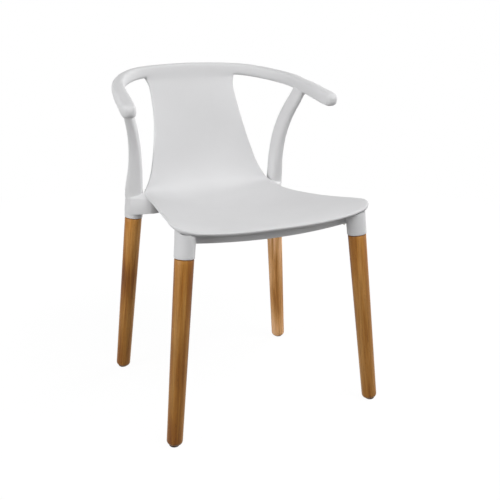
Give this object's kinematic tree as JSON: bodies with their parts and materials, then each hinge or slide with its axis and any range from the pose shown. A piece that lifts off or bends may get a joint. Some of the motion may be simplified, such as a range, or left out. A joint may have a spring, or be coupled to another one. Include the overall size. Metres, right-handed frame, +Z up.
{
  "type": "dining armchair",
  "caption": "Dining armchair with a one-piece white plastic shell, a bow that runs round into short arms, and splayed round beech legs in sockets.",
  "frame": {"origin": "on the floor, under the middle of the chair's bounding box", "axes": "+Z up, +X to the sitter's left, -Y out over the front edge of the seat"},
  "size_m": [0.5304, 0.5278, 0.76],
  "materials": {
    "white_plastic": "fine matt moulded white polypropylene",
    "beech": "satin lacquered, warm brown",
    "glide_plastic": "dark moulded nylon",
    "zinc_steel": "bright zinc plate",
    "brass": "plain turned"
  },
  "bodies": {
    "root": {"seat_back_shell": "white_plastic", "front_leg_bracket": "white_plastic", "bracket_screws": "zinc_steel", "front_left_leg": "beech", "front_right_leg": "beech", "rear_left_leg": "beech", "rear_right_leg": "beech", "front_left_bolt": "zinc_steel", "front_right_bolt": "zinc_steel", "rear_left_bolt": "zinc_steel", "rear_right_bolt": "zinc_steel", "front_left_washer": "zinc_steel", "front_right_washer": "zinc_steel", "rear_left_washer": "zinc_steel", "rear_right_washer": "zinc_steel", "front_left_insert": "brass", "front_right_insert": "brass", "rear_left_insert": "brass", "rear_right_insert": "brass", "front_left_glide": "glide_plastic", "front_right_glide": "glide_plastic", "rear_left_glide": "glide_plastic", "rear_right_glide": "glide_plastic", "front_left_nail": "zinc_steel", "front_right_nail": "zinc_steel", "rear_left_nail": "zinc_steel", "rear_right_nail": "zinc_steel"}
  },
  "joints": []
}
